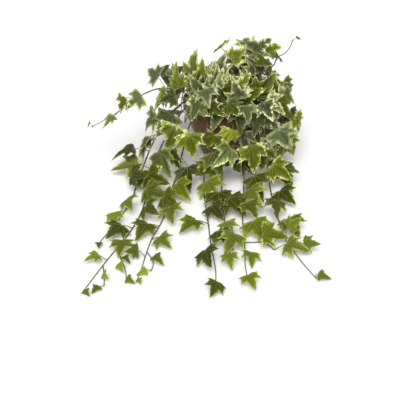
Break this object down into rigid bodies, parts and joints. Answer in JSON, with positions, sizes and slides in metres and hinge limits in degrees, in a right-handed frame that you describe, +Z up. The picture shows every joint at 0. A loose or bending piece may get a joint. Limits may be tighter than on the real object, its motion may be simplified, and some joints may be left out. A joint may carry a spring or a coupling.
{
  "type": "potted yellow ripple english ivy",
  "caption": "Variegated ivy in a tapered brown plastic pot, with a mound of lobed, rippled leaves over the rim and long leafy stems that trail along the surface it stands on.",
  "frame": {"origin": "centre of the pot's flat underside", "axes": "+Z up along the pot's axis, -Y towards the long trailing stems"},
  "size_m": [0.3201, 0.5497, 0.1775],
  "materials": {
    "pot_plastic": "satin moulded plastic",
    "soil": "rough potting soil",
    "foliage": "leathery variegated leaf, half gloss"
  },
  "bodies": {
    "root": {"crown_stem_1": "foliage", "crown_stem_2": "foliage", "crown_stem_3": "foliage", "crown_stem_4": "foliage", "crown_stem_5": "foliage", "hanging_stem_1": "foliage", "hanging_stem_2": "foliage", "hanging_stem_3": "foliage", "hanging_stem_4": "foliage", "hanging_stem_5": "foliage", "hanging_stem_6": "foliage", "hanging_stem_7": "foliage", "hanging_stem_8": "foliage", "hanging_stem_9": "foliage", "left_arm": "foliage", "pot": "pot_plastic", "right_tendril": "foliage", "soil": "soil", "spreading_stem_1": "foliage", "spreading_stem_2": "foliage", "spreading_stem_3": "foliage", "spreading_stem_4": "foliage", "spreading_stem_5": "foliage", "spreading_stem_6": "foliage", "spreading_stem_7": "foliage", "spreading_stem_8": "foliage", "spreading_stem_9": "foliage", "trailing_stem_back_1": "foliage", "trailing_stem_back_2": "foliage", "trailing_stem_back_3": "foliage", "trailing_stem_left_1": "foliage", "trailing_stem_left_2": "foliage", "trailing_stem_left_3": "foliage", "trailing_stem_middle_1": "foliage", "trailing_stem_middle_2": "foliage", "trailing_stem_middle_3": "foliage", "trailing_stem_right_1": "foliage"}
  },
  "joints": []
}
